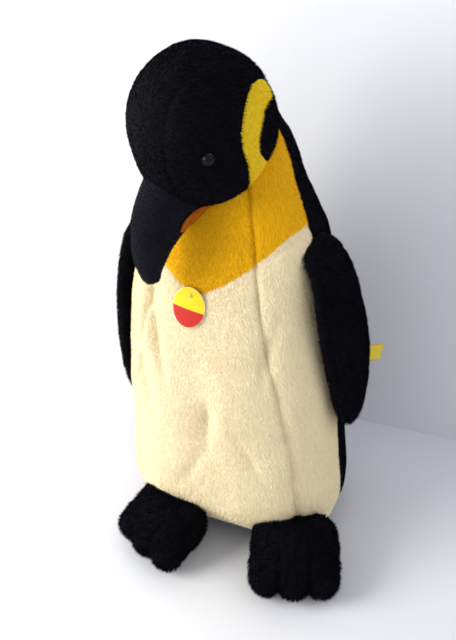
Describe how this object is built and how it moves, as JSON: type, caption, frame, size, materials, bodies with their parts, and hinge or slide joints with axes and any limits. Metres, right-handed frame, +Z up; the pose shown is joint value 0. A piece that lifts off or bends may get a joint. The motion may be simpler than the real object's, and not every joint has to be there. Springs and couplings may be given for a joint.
{
  "type": "plush penguin",
  "caption": "Standing stuffed plush penguin with a soft turning head, flippers that lift, flexing feet and tail, and a swing tag on its chest.",
  "frame": {"origin": "on the surface it stands on, at the centre of the flat base panel", "axes": "+Z up, the penguin faces -Y, its own left side is +X"},
  "size_m": [0.2875, 0.3102, 0.5726],
  "materials": {
    "cream_plush": "matte",
    "yellow_plush": "matte",
    "black_plush": "matte",
    "sole_cloth": "matte",
    "beak_velour": "matte",
    "orange_felt": "matte",
    "fibre_filling": "matte",
    "pellets": "matte",
    "eye_plastic": "gloss",
    "washer_plastic": "matte",
    "tag_card": "satin",
    "pin_plastic": "satin",
    "label_cloth": "matte"
  },
  "bodies": {
    "torso": {"back_panel_left": "black_plush", "back_panel_right": "black_plush", "base_panel": "black_plush", "belly_centre_panel": "cream_plush", "belly_side_left": "cream_plush", "belly_side_right": "cream_plush", "body_stuffing": "fibre_filling", "pellet_bag": "pellets", "tag_pin": "pin_plastic", "throat_centre_panel": "yellow_plush", "throat_side_left": "yellow_plush", "throat_side_right": "yellow_plush"},
    "neck": {"neck_nape_panel": "black_plush", "neck_stuffing": "fibre_filling", "neck_throat_panel": "yellow_plush"},
    "head": {"beak_lower": "beak_velour", "beak_stripe_left": "orange_felt", "beak_stripe_right": "orange_felt", "beak_stuffing": "fibre_filling", "beak_upper": "beak_velour", "crown_gusset": "black_plush", "ear_patch_left": "yellow_plush", "ear_patch_right": "yellow_plush", "eye_left": "eye_plastic", "eye_right": "eye_plastic", "eye_washer_left": "washer_plastic", "eye_washer_right": "washer_plastic", "head_side_left": "black_plush", "head_side_right": "black_plush", "head_stuffing": "fibre_filling"},
    "flipper_left": {"flipper_lining_left": "black_plush", "flipper_outer_left": "black_plush", "flipper_wadding_left": "fibre_filling", "sewn_label": "label_cloth"},
    "flipper_right": {"flipper_lining_right": "black_plush", "flipper_outer_right": "black_plush", "flipper_wadding_right": "fibre_filling"},
    "foot_left": {"foot_sole_left": "sole_cloth", "foot_stuffing_left": "fibre_filling", "foot_top_left": "black_plush"},
    "foot_right": {"foot_sole_right": "sole_cloth", "foot_stuffing_right": "fibre_filling", "foot_top_right": "black_plush"},
    "tail": {"tail_skin": "black_plush", "tail_stuffing": "fibre_filling"},
    "tag": {"swing_tag": "tag_card"}
  },
  "joints": [
    {"name": "neck_turn", "type": "hinge", "parent": "torso", "child": "neck", "pos_m": [0, -0.002, 0.4], "axis": [0, 0, 1], "range_deg": [-15, 45], "stiffness_Nm_per_rad": 2},
    {"name": "head_nod", "type": "hinge", "parent": "neck", "child": "head", "pos_m": [0, -0.002, 0.425], "axis": [0.9135, -0.4067, 0], "range_deg": [-24, 5], "stiffness_Nm_per_rad": 2.5},
    {"name": "flipper_left_lift", "type": "hinge", "parent": "torso", "child": "flipper_left", "pos_m": [0.09922, -0.014, 0.36], "axis": [0, -0.9744, -0.225], "range_deg": [0, 75], "stiffness_Nm_per_rad": 0.12},
    {"name": "flipper_right_lift", "type": "hinge", "parent": "torso", "child": "flipper_right", "pos_m": [-0.09922, -0.014, 0.36], "axis": [0, 0.9976, 0.0698], "range_deg": [0, 75], "stiffness_Nm_per_rad": 0.12},
    {"name": "foot_left_flex", "type": "hinge", "parent": "torso", "child": "foot_left", "pos_m": [0.094, -0.0779, 0.064], "axis": [-0.9397, -0.342, 0], "range_deg": [0, 30], "stiffness_Nm_per_rad": 0.4},
    {"name": "foot_right_flex", "type": "hinge", "parent": "torso", "child": "foot_right", "pos_m": [-0.049, -0.09715, 0.064], "axis": [-0.9063, 0.4226, 0], "range_deg": [0, 30], "stiffness_Nm_per_rad": 0.4},
    {"name": "tail_lift", "type": "hinge", "parent": "torso", "child": "tail", "pos_m": [0, 0.0971, 0.084], "axis": [1, 0, 0], "range_deg": [0, 30], "stiffness_Nm_per_rad": 0.05},
    {"name": "tag_swing", "type": "hinge", "parent": "torso", "child": "tag", "pos_m": [-0.011, -0.08161, 0.338], "axis": [-0.0127, -0.9687, 0.248], "range_deg": [-40, 40]}
  ]
}
